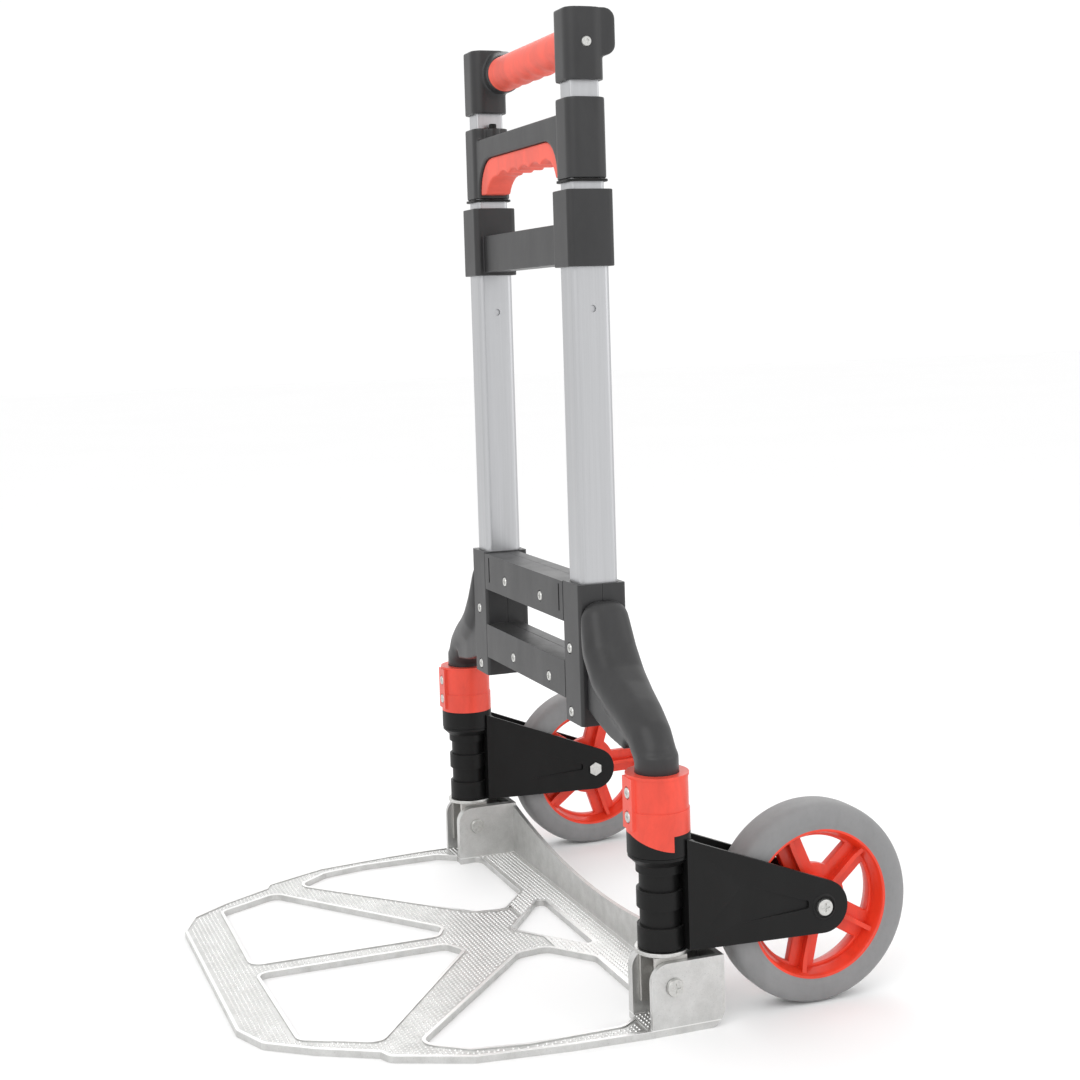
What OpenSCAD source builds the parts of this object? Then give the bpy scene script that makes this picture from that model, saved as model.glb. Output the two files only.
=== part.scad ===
// Folding two-wheel hand truck: hinged toe plate, swinging wheel brackets and a two-stage telescopic handle.
// X runs across the truck, -Y is the toe plate side, +Y the wheel side and Z is up from the floor.

/* [Overall] */
// Half distance between the two vertical posts
post_x = 228; // [190:1:280]
// Half distance between the telescopic tubes
tube_x = 114; // [97:1:140]
// Height of the top of the lower frame
frame_top = 317; // [310:1:384]
// Height of the retracted grip caps
total_height = 766; // [640:1:920]

/* [Toe plate] */
// Reach of the toe plate in front of the post axis
plate_reach = 298; // [250:1:360]
// Thickness of the toe plate
plate_t = 5.5; // [4.5:0.5:7]
// Width of the raised rim round the plate and its windows
rim_w = 2.6; // [2:0.1:3.2]
// Depth of the tread field below the rim
tread_depth = 1; // [0.8:0.1:1.2]
// Wall of the casting seen from below
cast_wall = 3; // [2.5:0.1:3.3]
// Height of the hinge axis above the floor
hinge_z = 35.5; // [35:0.5:37]
// Radius of the hinge bolt
hinge_r = 4; // [3.3:0.1:4.8]
// Height of the rear wall at the middle of the plate
web_mid = 29; // [24:1:34]
// Thickness of the rear wall
web_t = 3.5; // [2.8:0.1:4.2]

/* [Wheels] */
// Radius of the tyre
wheel_r = 77; // [76:1:78]
// Radius of the rim lip
rim_r = 58.5; // [48:0.5:62]
// Width of the tyre
tyre_w = 32; // [26:1:33]
// Distance of the axle behind the post axis
axle_back = 125; // [122:1:140]
// Radius of the axle
axle_r = 5; // [4:0.5:6]
// Number of spokes
spokes = 5; // [4:1:6]

/* [Wheel brackets] */
// Half width over the fork cheeks
fork_half = 22; // [21.5:0.5:24]
// Thickness of a fork cheek
cheek_t = 4; // [3:0.5:4]
// Radius of the axle boss on the cheek
boss_r = 20; // [17:0.5:21]
// Radius of the sleeve barrel
sleeve_r = 15.6; // [15:0.1:17]
// Radius of the raised rings on the sleeve
sleeve_ring_r = 17.8; // [17.2:0.1:19]

/* [Posts and clamps] */
// Radius of the post tube
post_r = 12.5; // [10.5:0.5:13]
// Wall of the post tube
post_wall = 2; // [1.5:0.1:2.4]
// Outer radius of the clamp collars
clamp_r = 23.8; // [22:0.2:24]
// Radius of the leg spigot inside the clamp
spigot_r = 16.5; // [14:0.5:18]
// Height of the cam tooth below the clamp
cam_drop = 11.7; // [9.8:0.1:14]

/* [Tubes] */
// Width across the outer tube
outer_w = 29; // [28:0.5:32]
// Depth of the outer tube
outer_d = 32; // [31:0.5:35]
// Wall of every telescopic tube
tube_wall = 1.5; // [1.3:0.1:1.8]
// Corner radius of the outer tube
tube_corner = 5; // [4:0.5:6]
// Travel of the lower handle stage
lower_travel = 165; // [138:1:198]
// Travel of the upper handle stage
upper_travel = 165; // [138:1:198]

/* [Handles] */
// Radius of the upper grip
grip_r = 15.5; // [13:0.5:17]
// Offset of the upper grip towards the wheels
grip_back = 9; // [7.5:0.5:10]
// Height of the lower handle posts
handle_h = 63; // [55:1:70]
// Height of the grip caps
cap_h = 56; // [50:1:60]
// Free gap between the caps and the lower handle
cap_gap = 13; // [11:1:16]

/* [Hidden] */
// Clearances
slide_gap = 0.3;
run_gap = 0.05;
seat_gap = 0.15;
turn_gap = 0.5;
eps = 0.01;
// Whole object is centred fore and aft on its footprint
wheel_back = axle_back + wheel_r;
post_y = (plate_reach - wheel_back) / 2;
// Ear block round each foot of the posts
ear_half = 22;
ear_outer_wall = 4.5;
ear_inner_wall = 8;
ear_front = 18.2;
ear_back = 40.5;
ear_round = 14;
ear_toe_round = 15;
ear_top = hinge_z + 18.2;
slot_back = 36;
web_back = ear_back;
web_end = ear_top - 2;
web_half = post_x - ear_half;
web_rise = web_end - web_mid;
web_arc_r = (web_half * web_half + web_rise * web_rise) / (2 * web_rise);
hinge_head_r = 7;
hinge_head_t = 2.6;
// Foot channel and disc under the sleeve
foot_x0 = -ear_half + ear_inner_wall + slide_gap;
foot_x1 = ear_half - ear_outer_wall - slide_gap;
foot_half_d = 13;
foot_drop = 20;
foot_wall = 3.4;
foot_channel = 19;
disc_z = hinge_z + 21.3;
disc_t = 3.2;
disc_r = 20.4;
// Sleeve stations, measured up from the disc
sleeve_z = disc_z + disc_t + turn_gap;
sleeve_top = 130.4;
ring_1 = 77;
ring_2 = 90.5;
ring_3 = 104;
ring_4 = 117;
ring_5 = 123;
head_r = clamp_r - 0.4;
// Clamp stations
cam_z = sleeve_top + turn_gap;
tooth_z = 135.3;
clamp_z = tooth_z + cam_drop;
clamp_top = 190.5;
clamp_step_z = 164;
spigot_z = clamp_z + 5;
cam_low = 30;
cam_from = -85;
cam_to = 5;
cam_amp = cam_drop / (cos(cam_to - cam_low) - cos(cam_from - cam_low));
cam_mid = tooth_z + cam_amp * cos(cam_to - cam_low);
cam_tilt = atan(cam_amp / clamp_r);
clamp_pad_w = 17;
clamp_pad_y = clamp_r + 0.7;
clamp_screw_r = 4.6;
clamp_screw_z = [159, 177];
// Fork profile
axle_z = wheel_r;
fork_top = 141;
fork_start = 13;
fork_low = sleeve_z;
fork_web = 22;
fork_slot = fork_half - cheek_t;
bolt_head_r = 6.8;
bolt_head_t = 2.4;
recess_y = 55;
recess_len = axle_back - 13 - recess_y;
recess_t = 1.8;
// Wheel sections
hub_r = 18;
hub_half = fork_slot - turn_gap;
barrel_r = 57;
barrel_wall = 5.5;
lip_w = 2.2;
spoke_w = 20;
spoke_t = 7;
spoke_rib = 3.6;
spoke_rib_t = 24;
spoke_turn = 41;
spoke_turn_left = 1;
tyre_crown = 9;
// Lower frame
socket_wall = 3.6;
socket_h = 112;
socket_z = frame_top - socket_h;
socket_w = outer_w + 2 * socket_wall;
socket_d = outer_d + 2 * socket_wall + 1.2;
socket_floor = 4;
bar_rear = 12;
low_bar_z = socket_z + 17;
low_bar_h = 30;
top_bar_h = 32;
bar_half = tube_x - socket_w / 2;
frame_screw_r = 4.4;
frame_screw_t = 1.1;
frame_screw_at = [[tube_x - 5, frame_top - 53], [tube_x - 5, socket_z + 8], [-tube_x - 2, frame_top - 53],
                  [-tube_x - 2, socket_z + 8], [44, frame_top - 20], [-44, frame_top - 20], [60, low_bar_z + 11],
                  [-27, low_bar_z + 11]];
// Leg path from the socket to the post: fraction of the way out, height over the frame's foot, radius, spread in depth
leg_start = tube_x + outer_w / 2 + socket_wall;
leg_span = post_x - leg_start;
leg_path = [[0.02, 84, 15, 5], [0.12, 60, 16, 6], [0.28, 42, 16, 6], [0.48, 30, 16.5, 4], [0.7, 20, 16.5, 2],
            [0.88, 9, 16.5, 0.5], [0.97, -2, 16.5, 0]];
leg_web = 31;
// Telescopic stages
middle_w = outer_w - 2 * (tube_wall + slide_gap);
middle_d = outer_d - 2 * (tube_wall + slide_gap);
inner_w = middle_w - 2 * (tube_wall + slide_gap);
inner_d = middle_d - 2 * (tube_wall + slide_gap);
top_z = total_height;
cap_z = top_z - cap_h;
handle_top = cap_z - cap_gap;
handle_z = handle_top - handle_h;
guide_t = 2;
guide_z = handle_z - guide_t - 0.4;
bracket_h = 60;
bracket_top = guide_z - 6;
bracket_z = bracket_top - bracket_h;
bracket_wall = 4;
bracket_lid = 3;
bracket_w = outer_w + 2 * bracket_wall;
bracket_d = outer_d + 2 * bracket_wall - 1;
outer_z0 = socket_z + socket_floor;
outer_z1 = bracket_top - bracket_lid - seat_gap;
middle_z0 = outer_z0 + 6;
middle_z1 = handle_top - 4;
inner_z0 = middle_z0 + 8;
inner_z1 = top_z - 6;
// Overlap left in each tube when its stage is fully out
lower_overlap = outer_z1 - middle_z0 - lower_travel;
upper_overlap = middle_z1 - inner_z0 - upper_travel;
assert(min(lower_overlap, upper_overlap) > 60, "the handle stages pull out of their tubes");
hole_r = 3;
hole_z = bracket_z - 33;
// Handle blocks
block_w = middle_w + 9;
block_d = middle_d + 5;
block_corner = 9;
cap_w = inner_w + 13;
cap_d = inner_d + 8;
grip_z = top_z - 22.5;
bridge_top = handle_top - 11;
arch_top = handle_top - 29;
arch_red = 17;
arch_half = tube_x - block_w / 2;
bridge_d = 27;
button_r = 3.4;
button_travel = 3;
button_x = -tube_x + block_w / 2 + 0.8;
button_depth = 10;
rivet_r = 4.2;
cap_arm = 12;
cap_head_h = 37;
cap_head_round = 9;
grip_half = tube_x - cap_w / 2 - cap_arm - seat_gap;

$fn = 48;

// Everything is drawn round the post plane and then moved to the centred frame
module placed() translate([0, post_y, 0]) children();
module left() mirror([1, 0, 0]) children();
module at_post() translate([post_x, 0, 0]) children();

module rounded(w, d, r) offset(r = r, $fn = 32) square([w - 2 * r, d - 2 * r], center = true);
module mirrored_x() { children(); mirror([1, 0, 0]) children(); }

// A rounded rectangular tube standing on z0
module box_tube(w, d, corner, wall, z0, z1)
    translate([0, 0, z0]) linear_extrude(z1 - z0) difference() {
        rounded(w, d, corner);
        rounded(w - 2 * wall, d - 2 * wall, corner - wall);
    }

// Pan head with a cross recess, its face towards +Z
module cross_head(r, t) difference() {
    cylinder(r1 = r, r2 = r - 0.8, h = t);
    translate([0, 0, t - 0.9]) for (a = [0, 90])
        rotate(a) translate([-r * 0.5, -0.7, 0]) cube([r, 1.4, 1]);
}

// ---- toe plate ----
module plate_outline() polygon([
    [-118, -plate_reach], [118, -plate_reach], [150, -plate_reach + 13], [post_x - 52, -plate_reach + 46],
    [post_x - 27, -plate_reach + 88], [post_x - 17, -plate_reach + 92], [post_x + 9, -150], [post_x + 18, -80],
    [post_x + ear_half, -ear_front], [post_x + ear_half, 0], [-post_x - ear_half, 0],
    [-post_x - ear_half, -ear_front], [-post_x - 18, -80], [-post_x - 9, -150], [-post_x + 17, -plate_reach + 92],
    [-post_x + 27, -plate_reach + 88], [-post_x + 52, -plate_reach + 46], [-150, -plate_reach + 13]]);

module side_window() polygon([
    [post_x - 31, -plate_reach + 119], [post_x - 6, -plate_reach + 150], [post_x + 2, -108], [post_x + 2, -34],
    [post_x - 26, 2], [90, 2], [52, -27], [56, -53]]);

module front_window() polygon([
    [11, -plate_reach + 38], [11, -102], [30, -92], [post_x - 46, -plate_reach + 93],
    [post_x - 74, -plate_reach + 40]]);

module hub_window() polygon([[0, -38], [70, 13], [-70, 13]]);

module plate_shape() difference() {
    union() {
        offset(r = 10, $fn = 32) offset(delta = -10) plate_outline();
        translate([-post_x - ear_half, -ear_front]) square([2 * (post_x + ear_half), ear_front + ear_back]);
    }
    mirrored_x() offset(r = 11, $fn = 32) offset(delta = -11) side_window();
    mirrored_x() offset(r = 9, $fn = 32) offset(delta = -9) front_window();
    offset(r = 5, $fn = 32) offset(delta = -5) hub_window();
}

// Side profile of an ear block, drawn in the Y-Z plane
module ear_profile() {
    difference() {
        translate([-ear_front, 0]) square([ear_front + ear_back, ear_top]);
        translate([-ear_front, ear_top - ear_round]) square(ear_round);
        translate([ear_back - ear_toe_round, 0]) square(ear_toe_round);
    }
    translate([-ear_front + ear_round, ear_top - ear_round]) circle(ear_round - eps);
    translate([ear_back - ear_toe_round, ear_toe_round]) circle(ear_toe_round - eps);
}

// Turns a Y-Z drawing into a slab between two X values
module slab(x0, x1) translate([x0, 0, 0]) rotate([90, 0, 90]) linear_extrude(x1 - x0) children();

module ear() at_post() difference() {
    slab(-ear_half, ear_half) ear_profile();
    translate([-ear_half + ear_inner_wall, -ear_front - 1, plate_t])
        cube([2 * ear_half - ear_inner_wall - ear_outer_wall, ear_front + slot_back + 1, ear_top]);
    translate([-ear_half - 1, 0, hinge_z]) rotate([0, 90, 0]) cylinder(r = hinge_r + run_gap, h = 2 * ear_half + 2);
}

module rear_wall() difference() {
    translate([-web_half - 1, web_back - web_t, 0]) cube([2 * web_half + 2, web_t, web_end]);
    translate([0, web_back + 1, web_mid + web_arc_r]) rotate([90, 0, 0])
        cylinder(r = web_arc_r, h = web_t + 2, $fn = 200);
}

module toe_plate() color("gainsboro") placed() {
    difference() {
        union() {
            difference() {
                linear_extrude(plate_t) plate_shape();
                // tread field inside the rim
                translate([0, 0, plate_t - tread_depth]) linear_extrude(plate_t) intersection() {
                    offset(delta = -rim_w) plate_shape();
                    translate([-post_x - 18, -plate_reach]) square([2 * post_x + 36, plate_reach - ear_front - 2]);
                }
                // hollow underside of the casting
                translate([0, 0, -1]) linear_extrude(1 + plate_t - tread_depth - cast_wall) intersection() {
                    offset(delta = -cast_wall) plate_shape();
                    translate([-post_x - 18, -plate_reach]) square([2 * post_x + 36, plate_reach - ear_front - 6]);
                }
                mirrored_x() translate([post_x - ear_half, -ear_front, -1])
                    cube([2 * ear_half + 1, ear_front + ear_back + 1, plate_t + 2]);
            }
            rear_wall();
            mirrored_x() ear();
        }
    }
}

// ---- posts, feet and hinge bolts ----
module foot() color("darkgray") placed() at_post() difference() {
    translate([foot_x0, -foot_half_d, hinge_z - foot_drop])
        cube([foot_x1 - foot_x0, 2 * foot_half_d, disc_z - hinge_z + foot_drop]);
    translate([foot_x0 + foot_wall, -foot_half_d - 1, hinge_z - foot_drop - 1])
        cube([foot_x1 - foot_x0 - 2 * foot_wall, foot_channel + 1, disc_z]);
    translate([foot_x0 - 1, 0, hinge_z]) rotate([0, 90, 0]) cylinder(r = hinge_r + run_gap, h = foot_x1 - foot_x0 + 2);
}

module foot_disc() color("silver") placed() at_post() translate([0, 0, disc_z]) cylinder(r = disc_r, h = disc_t);

module hinge_bolt() color("lightgray") placed() at_post() translate([0, 0, hinge_z]) rotate([0, 90, 0]) {
    translate([0, 0, -ear_half - slide_gap]) cylinder(r = hinge_r, h = 2 * (ear_half + slide_gap));
    translate([0, 0, ear_half + slide_gap]) cross_head(hinge_head_r, hinge_head_t);
    mirror([0, 0, 1]) translate([0, 0, ear_half + slide_gap]) cross_head(hinge_head_r, hinge_head_t);
}

module post() color("dimgray") placed() at_post() translate([0, 0, disc_z + disc_t]) difference() {
    cylinder(r = post_r, h = spigot_z - disc_z - disc_t);
    translate([0, 0, 4]) cylinder(r = post_r - post_wall, h = spigot_z);
}

// ---- clamp collar with its cam tooth ----
module cam_sector() linear_extrude(400) polygon([
    [0, 0], [80 * cos(cam_to), 80 * sin(cam_to)],
    [120 * cos((cam_from + cam_to) / 2), 120 * sin((cam_from + cam_to) / 2)],
    [80 * cos(cam_from), 80 * sin(cam_from)]]);

// Everything above the sloping face of the tooth, lowered by drop
module above_cam(drop) translate([0, 0, cam_mid - drop]) rotate([0, 0, cam_low]) rotate([0, cam_tilt, 0])
    translate([-80, -80, 0]) cube([160, 160, 80]);

module clamp() color("tomato") placed() at_post() difference() {
    union() {
        translate([0, 0, clamp_z]) cylinder(r = clamp_r, h = clamp_step_z - clamp_z);
        translate([0, 0, clamp_step_z]) cylinder(r = clamp_r - 0.7, h = clamp_top - 2 - clamp_step_z);
        translate([0, 0, clamp_top - 2]) cylinder(r = clamp_r, h = 2);
        translate([-clamp_pad_w / 2, -clamp_pad_y, clamp_z + 3]) cube([clamp_pad_w, 12, clamp_top - clamp_z - 5]);
        intersection() {
            translate([0, 0, tooth_z - 1]) cylinder(r = clamp_r, h = cam_drop + 1 + eps);
            cam_sector();
            above_cam(0);
        }
    }
    translate([0, 0, tooth_z - 5]) cylinder(r = spigot_r + seat_gap, h = clamp_top);
    for (z = clamp_screw_z) translate([0, -clamp_pad_y - 1, z]) rotate([-90, 0, 0])
        cylinder(r = clamp_screw_r + seat_gap, h = 2.4);
}

module clamp_screws() color("silver") placed() at_post() for (z = clamp_screw_z)
    translate([0, -clamp_pad_y + 1.4, z]) rotate([90, 0, 0]) cross_head(clamp_screw_r, 1.9);

module cam_ring() color("#2b2b2d") placed() at_post() difference() {
    union() {
        difference() {
            translate([0, 0, cam_z]) cylinder(r = clamp_r, h = clamp_z - seat_gap - cam_z);
            intersection() {
                translate([0, 0, cam_z - 1]) rotate([0, 0, 0.6]) cam_sector();
                above_cam(seat_gap);
            }
        }
        translate([0, 0, cam_z]) cylinder(r = spigot_r, h = spigot_z - cam_z);
    }
    translate([0, 0, cam_z - 1]) cylinder(r = post_r + run_gap, h = 60);
}

// ---- wheel bracket ----
module sleeve() {
    translate([0, 0, sleeve_z]) cylinder(r = sleeve_r, h = sleeve_top - sleeve_z);
    translate([0, 0, sleeve_z]) cylinder(r = sleeve_ring_r, h = ring_1 - sleeve_z);
    translate([0, 0, ring_2]) cylinder(r = sleeve_ring_r, h = ring_3 - ring_2);
    translate([0, 0, ring_4]) cylinder(r = sleeve_ring_r, h = ring_5 - ring_4);
    translate([0, 0, ring_5]) cylinder(r1 = sleeve_ring_r, r2 = head_r, h = sleeve_top - 2 - ring_5);
    translate([0, 0, sleeve_top - 2]) cylinder(r = head_r, h = 2);
}

// Side view of a cheek in the Y-Z plane
module cheek_outline() {
    slope = atan((fork_top - axle_z - boss_r) / (axle_back - fork_start - 5));
    polygon([[fork_start, fork_low], [axle_back, axle_z - boss_r],
             [axle_back + boss_r * sin(slope), axle_z + boss_r * cos(slope)],
             [fork_start, fork_top + 5 * tan(slope)]]);
    translate([axle_back, axle_z]) circle(boss_r);
}

// Triangular recess that deepens from the outer face of a cheek towards the axle
module cheek_recess() translate([fork_half, recess_y, 0]) rotate([0, 0, atan(recess_t / recess_len)]) slab(0, 8)
    offset(r = 2, $fn = 24) offset(delta = -2)
        polygon([[0, axle_z - 2], [0, axle_z + 27], [recess_len, axle_z + 6.5], [recess_len, axle_z + 0.5]]);

module bracket() color("#232325") placed() at_post() difference() {
    union() {
        sleeve();
        slab(-fork_half, fork_half) difference() {
            cheek_outline();
            translate([fork_web, 0]) square([axle_back + 60, 200]);
        }
        for (x = [fork_half - cheek_t, -fork_half]) slab(x, x + cheek_t) cheek_outline();
    }
    mirrored_x() cheek_recess();
    // clear of the collar and the cam ring above the sleeve
    translate([0, 0, sleeve_top]) cylinder(r = clamp_r + turn_gap, h = 60);
    translate([0, 0, disc_z - 30]) cylinder(r = disc_r + turn_gap, h = sleeve_z - disc_z + 30);
    translate([0, 0, sleeve_z - 1]) cylinder(r = post_r + run_gap, h = 200);
    translate([-60, axle_back, axle_z]) rotate([0, 90, 0]) cylinder(r = axle_r + run_gap, h = 120);
}

module axle() color("silver") placed() at_post() translate([0, axle_back, axle_z]) rotate([0, 90, 0]) {
    translate([0, 0, -fork_half]) cylinder(r = axle_r, h = 2 * fork_half);
    translate([0, 0, fork_half]) cross_head(bolt_head_r, bolt_head_t);
    mirror([0, 0, 1]) translate([0, 0, fork_half]) cylinder(r = bolt_head_r, h = 1.4, $fn = 6);
}

// ---- wheels ----
// turn is the angle of the first spoke above the wheel side
module at_wheel(turn) placed() at_post() translate([0, axle_back, axle_z]) rotate([0, 90, 0]) rotate(turn + 90) children();

module rim(turn) color("orangered") at_wheel(turn) difference() {
    union() {
        rotate_extrude($fn = 96) polygon([
            [barrel_r - barrel_wall, -6], [barrel_r - 2.5, -tyre_w / 2 + 1], [rim_r, -tyre_w / 2 + 1],
            [rim_r, -tyre_w / 2 + 1 + lip_w], [barrel_r, -tyre_w / 2 + 1 + lip_w],
            [barrel_r, tyre_w / 2 - 1 - lip_w], [rim_r, tyre_w / 2 - 1 - lip_w], [rim_r, tyre_w / 2 - 1],
            [barrel_r - 2.5, tyre_w / 2 - 1], [barrel_r - barrel_wall, 6]]);
        translate([0, 0, -hub_half]) cylinder(r = hub_r, h = 2 * hub_half);
        for (i = [0 : spokes - 1]) rotate(i * 360 / spokes) {
            translate([0, -spoke_w / 2, -spoke_t / 2]) cube([barrel_r - barrel_wall + 1.5, spoke_w, spoke_t]);
            translate([0, -spoke_rib / 2, -spoke_rib_t / 2]) cube([barrel_r - barrel_wall + 0.5, spoke_rib, spoke_rib_t]);
        }
    }
    translate([0, 0, -50]) cylinder(r = axle_r + run_gap, h = 100);
}

module tyre(turn) color("gray") at_wheel(turn) rotate_extrude($fn = 96) union() {
    half = tyre_w / 2 - 1 - lip_w - 0.1;
    polygon([[barrel_r, -half], [rim_r + 0.15, -half], [rim_r + 0.15, -tyre_w / 2 + 1],
             [rim_r + 4, -tyre_w / 2], [wheel_r - tyre_crown, -tyre_w / 2], [wheel_r - 3, -tyre_w / 2 + 4],
             [wheel_r, -tyre_w / 2 + tyre_crown], [wheel_r, tyre_w / 2 - tyre_crown],
             [wheel_r - 3, tyre_w / 2 - 4], [wheel_r - tyre_crown, tyre_w / 2], [rim_r + 4, tyre_w / 2],
             [rim_r + 0.15, tyre_w / 2 - 1], [rim_r + 0.15, half], [barrel_r, half]]);
}

// ---- lower frame ----
module socket() translate([tube_x, 0, socket_z]) linear_extrude(socket_h) rounded(socket_w, socket_d, 3);

module cross_bar(z, h) translate([-bar_half - 1, -socket_d / 2, z])
    cube([2 * bar_half + 2, socket_d / 2 + bar_rear, h]);

module frame_body() difference() {
    union() {
        mirrored_x() socket();
        cross_bar(low_bar_z, low_bar_h);
        cross_bar(frame_top - top_bar_h - 1, top_bar_h);
    }
    mirrored_x() translate([tube_x, 0, outer_z0]) linear_extrude(frame_top)
        rounded(outer_w + 2 * seat_gap, outer_d + 2 * seat_gap, tube_corner);
    // narrow slots in the upper bar
    for (x = [-bar_half + 9, bar_half - 9]) translate([x, -socket_d / 2 - 1, frame_top - 26]) cube([2.4, 9, 22]);
    // pockets on the wheel side of both bars
    for (x = [-62, 0, 62]) for (z = [low_bar_z + 4, frame_top - top_bar_h + 3])
        translate([x - 26, 2, z]) cube([52, bar_rear, low_bar_h - 8]);
    // seats of the screws
    for (p = frame_screw_at) translate([p[0], -socket_d / 2 - 1, p[1]]) rotate([-90, 0, 0])
        cylinder(r = frame_screw_r + seat_gap, h = 1 + frame_screw_t);
}

module frame_front() color("#3a3a3c") placed() intersection() {
    frame_body();
    translate([-300, -100, 0]) cube([600, 100 - seat_gap / 2, 600]);
}

module frame_rear() color("#3a3a3c") placed() intersection() {
    frame_body();
    translate([-300, seat_gap / 2, 0]) cube([600, 100, 600]);
}

module frame_screws() color("silver") placed() for (p = frame_screw_at)
    translate([p[0], -socket_d / 2 + frame_screw_t, p[1]]) rotate([90, 0, 0]) cross_head(frame_screw_r, frame_screw_t + 0.4);

module leg_section(p) for (side = [-1, 1])
    translate([leg_start + p[0] * leg_span, side * p[3], socket_z + p[1]]) sphere(r = p[2], $fn = 24);

module leg() color("#303032") placed() difference() {
    union() {
        for (i = [0 : len(leg_path) - 2]) hull() {
            leg_section(leg_path[i]);
            leg_section(leg_path[i + 1]);
        }
        at_post() translate([0, 0, spigot_z + seat_gap]) cylinder(r = spigot_r, h = socket_z - spigot_z - 1);
        // web between the leg and its socket
        translate([0, leg_web / 2, 0]) rotate([90, 0, 0]) linear_extrude(leg_web) polygon([
            [leg_start - 2, socket_z + 90], [leg_start + 0.2 * leg_span, socket_z + 50],
            [leg_start + 0.8 * leg_span, socket_z + 16], [leg_start + 0.72 * leg_span, socket_z - 3],
            [leg_start + 0.42 * leg_span, socket_z + 1], [leg_start + 0.15 * leg_span, socket_z + 8],
            [leg_start - 2, socket_z + 14]]);
    }
    // the flat face that lies against the socket
    translate([leg_start - 60, -40, socket_z - 40]) cube([60 + seat_gap, 80, 200]);
}

module collar_bracket() color("#3a3a3c") placed() difference() {
    union() {
        mirrored_x() translate([tube_x, 0, bracket_z]) linear_extrude(bracket_h) rounded(bracket_w, bracket_d, 5);
        translate([-tube_x, -12, bracket_z + 3]) cube([2 * tube_x, 22, 32]);
    }
    mirrored_x() translate([tube_x, 0, bracket_z - 1]) linear_extrude(bracket_h - bracket_lid + 1)
        rounded(outer_w + 2 * seat_gap, outer_d + 2 * seat_gap, tube_corner);
    mirrored_x() translate([tube_x, 0, bracket_z - 1]) linear_extrude(bracket_h + 2)
        rounded(middle_w + 2 * slide_gap, middle_d + 2 * slide_gap, tube_corner - tube_wall);
    translate([-bar_half + 8, 2, bracket_z + 7]) cube([2 * bar_half - 16, 20, 24]);
}

// ---- telescopic tubes ----
module tube_outer() color("lightgray") placed() translate([tube_x, 0, 0]) difference() {
    box_tube(outer_w, outer_d, tube_corner, tube_wall, outer_z0, outer_z1);
    translate([-30, 0, hole_z]) rotate([0, 90, 0]) cylinder(r = hole_r, h = 60);
}

module tube_middle() color("lightgray") placed() translate([tube_x, 0, 0])
    box_tube(middle_w, middle_d, tube_corner - tube_wall, tube_wall, middle_z0, middle_z1);

module tube_inner() color("lightgray") placed() translate([tube_x, 0, 0])
    box_tube(inner_w, inner_d, tube_corner - 2 * tube_wall, tube_wall, inner_z0, inner_z1);

// ---- lower handle ----
module guide_plate() color("#1f1f21") placed() translate([tube_x, 0, guide_z]) linear_extrude(guide_t) difference() {
    rounded(block_w + 1.5, block_d + 1.5, block_corner);
    rounded(middle_w + 2 * seat_gap, middle_d + 2 * seat_gap, tube_corner - tube_wall);
}

// Arch under the bridge: an ellipse-like opening made of two corner rounds and a straight top
module arch(top, drop) translate([0, 40, 0]) rotate([90, 0, 0]) linear_extrude(80) difference() {
    translate([-arch_half - drop, handle_z - 20]) square([2 * (arch_half + drop), top - handle_z + 20]);
    mirrored_x() translate([arch_half + drop - 30, top - 30]) difference() {
        square(31);
        circle(30, $fn = 64);
    }
}

module handle_lower() color("#3a3a3c") placed() difference() {
    union() {
        mirrored_x() translate([tube_x, 0, handle_z]) linear_extrude(handle_h) rounded(block_w, block_d, block_corner);
        difference() {
            translate([-tube_x, -bridge_d / 2 - 1, handle_z]) cube([2 * tube_x, bridge_d, bridge_top - handle_z]);
            arch(arch_top, 0);
        }
        translate([button_x, 0, handle_top - 16]) cylinder(r = button_r + 3.2, h = 15.5);
    }
    mirrored_x() translate([tube_x, 0, handle_z - 1]) linear_extrude(middle_z1 - handle_z + 1)
        rounded(middle_w + 2 * seat_gap, middle_d + 2 * seat_gap, tube_corner - tube_wall);
    mirrored_x() translate([tube_x, 0, handle_z - 1]) linear_extrude(handle_h + 2)
        rounded(inner_w + 2 * slide_gap, inner_d + 2 * slide_gap, tube_corner - 2 * tube_wall);
    // well of the release button
    translate([button_x, 0, handle_top - button_depth]) cylinder(r = button_r + slide_gap, h = button_depth + 1);
}

module grip_lower() color("salmon") placed() difference() {
    intersection() {
        arch(arch_top - seat_gap, -seat_gap);
        translate([-arch_half, -bridge_d / 2 + 1, handle_z + 3]) cube([2 * arch_half, bridge_d - 4, 100]);
    }
    arch(arch_top - arch_red, -9);
    for (i = [-2 : 2]) translate([i * 26 + 13, 40, arch_top - arch_red - 22]) rotate([90, 0, 0])
        cylinder(r = 25, h = 80);
}

module release_button() color("#1a1a1c") placed() translate([button_x, 0, handle_top - button_depth + button_travel + 1])
    cylinder(r = button_r, h = button_depth - 0.5);

// ---- upper handle ----
// Rounded block at the top of a cap, from the tube back to behind the grip
module cap_head(x, w) slab(x, x + w) translate([grip_back + grip_r + 1 - cap_head_round, top_z - cap_head_h / 2])
    for (y = [-cap_head_round, 0]) for (z = [-1, 1])
        translate([y, z * (cap_head_h / 2 - cap_head_round)]) circle(cap_head_round);

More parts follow.
